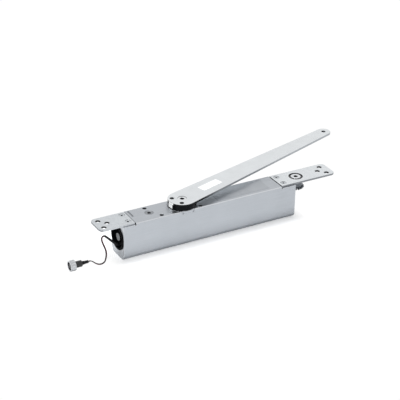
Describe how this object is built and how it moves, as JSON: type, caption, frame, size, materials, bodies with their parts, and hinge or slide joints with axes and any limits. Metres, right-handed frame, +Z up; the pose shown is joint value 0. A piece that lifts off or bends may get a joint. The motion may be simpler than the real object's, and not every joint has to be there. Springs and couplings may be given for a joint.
{
  "type": "concealed door closer",
  "caption": "Slim aluminium door closer body with end mounting plates, a tapered swing arm, a spring adjuster and a plug-in hold-open cable.",
  "frame": {"origin": "on the flat underside of the housing, straight below the spindle axis", "axes": "+X along the housing towards the spring adjuster, +Y towards the housing's back face, +Z up towards the arm"},
  "size_m": [0.5022, 0.1286, 0.0675],
  "materials": {
    "housing_aluminium": "satin extruded and machined",
    "plate_steel": "satin zinc grey",
    "arm_steel": "satin silver grey",
    "screw_steel": "zinc plated",
    "hardened_steel": "dark oiled steel",
    "bearing_bronze": "turned",
    "seal_rubber": "matte black",
    "plug_aluminium": "turned",
    "spring_steel": "oiled spring wire",
    "black_plastic": "moulded black",
    "coil_copper": "varnished copper winding",
    "cable_sheath": "black and dark red insulation",
    "contact_gold": "gold flash",
    "ring_nickel": "nickel plated",
    "label_foil": "blank silver foil",
    "label_white": "blank white film"
  },
  "bodies": {
    "housing": {"housing": "housing_aluminium", "left_mounting_plate": "plate_steel", "right_mounting_plate": "plate_steel", "left_plate_screws": "screw_steel", "right_plate_screws": "screw_steel", "upper_bearing": "bearing_bronze", "lower_bearing": "bearing_bronze", "shaft_seal": "seal_rubber", "bearing_cover": "plug_aluminium", "cover_screws": "screw_steel", "closing_spring": "spring_steel", "adjuster_bush": "black_plastic", "right_end_plug": "plug_aluminium", "right_plug_seal": "seal_rubber", "plug_clip": "spring_steel", "thrust_washer": "bearing_bronze", "left_end_cup": "black_plastic", "magnet_can": "screw_steel", "magnet_coil": "coil_copper", "plunger_spring": "spring_steel", "valve_block": "plug_aluminium", "left_plug_seal": "seal_rubber", "valve_seals": "seal_rubber", "filler_plug": "plug_aluminium", "locking_key": "hardened_steel", "cable_gland": "black_plastic", "cable": "cable_sheath", "cable_sleeve": "black_plastic", "plug_body": "black_plastic", "plug_contacts": "contact_gold", "type_plate": "label_foil"},
    "arm": {"arm": "arm_steel", "arm_hub": "arm_steel", "arm_screws": "screw_steel", "hub_screw": "screw_steel", "spindle": "hardened_steel", "arm_label": "label_white"},
    "piston": {"piston": "hardened_steel", "piston_seals": "seal_rubber", "check_valve_ball": "hardened_steel"},
    "spring_nut": {"spring_nut": "bearing_bronze"},
    "adjuster": {"adjuster_shaft": "screw_steel", "adjuster_bevel_gear": "hardened_steel"},
    "adjusting_spindle": {"adjusting_spindle": "screw_steel", "spindle_bevel_gear": "hardened_steel"},
    "magnet_plunger": {"magnet_plunger": "screw_steel"},
    "closing_valve": {"closing_valve": "screw_steel"},
    "latching_valve": {"latching_valve": "screw_steel"},
    "backcheck_valve": {"backcheck_valve": "screw_steel"},
    "coupling_ring": {"coupling_ring": "ring_nickel"}
  },
  "joints": [
    {"name": "arm_swing", "type": "hinge", "parent": "housing", "child": "arm", "pos_m": [0, 0, 0.057], "axis": [0, 0, 1], "range_deg": [-120, 0], "stiffness_Nm_per_rad": 6, "springref_deg": 28.65},
    {"name": "piston_travel", "type": "slide", "parent": "housing", "child": "piston", "axis": [1, 0, 0], "range_m": [0, 0.022], "deforming": ["closing_spring"]},
    {"name": "adjuster_turn", "type": "hinge", "parent": "housing", "child": "adjuster", "pos_m": [0.1945, 0, 0.03], "axis": [0, 0, -1], "range_deg": [0, 1440]},
    {"name": "adjusting_spindle_turn", "type": "hinge", "parent": "housing", "child": "adjusting_spindle", "pos_m": [0.16, 0, 0.03], "axis": [-1, 0, 0], "range_deg": [0, 1500]},
    {"name": "spring_preload", "type": "slide", "parent": "housing", "child": "spring_nut", "axis": [-1, 0, 0], "range_m": [0, 0.0125], "deforming": ["closing_spring"]},
    {"name": "hold_open_plunger", "type": "slide", "parent": "housing", "child": "magnet_plunger", "axis": [1, 0, 0], "range_m": [0, 0.0015], "stiffness_N_per_m": 300, "springref_m": -0.002, "deforming": ["plunger_spring"]},
    {"name": "closing_valve_turn", "type": "hinge", "parent": "housing", "child": "closing_valve", "pos_m": [-0.0535, 0.0144, 0.05], "axis": [0, 0, 1], "range_deg": [-180, 180]},
    {"name": "latching_valve_turn", "type": "hinge", "parent": "housing", "child": "latching_valve", "pos_m": [-0.0405, -0.0144, 0.05], "axis": [0, 0, 1], "range_deg": [-180, 180]},
    {"name": "backcheck_valve_turn", "type": "hinge", "parent": "housing", "child": "backcheck_valve", "pos_m": [0.0225, -0.0144, 0.05], "axis": [0, 0, 1], "range_deg": [-180, 180]},
    {"name": "coupling_ring_turn", "type": "hinge", "parent": "housing", "child": "coupling_ring", "pos_m": [-0.179, -0.0085, 0.0078], "axis": [1, 0, 0], "continuous": true}
  ],
  "couplings": [
    {"joint": "piston_travel", "follows": "arm_swing", "m_per_rad": -0.0105},
    {"joint": "adjusting_spindle_turn", "follows": "adjuster_turn", "ratio": 1},
    {"joint": "spring_preload", "follows": "adjuster_turn", "m_per_rad": 0.000477}
  ]
}
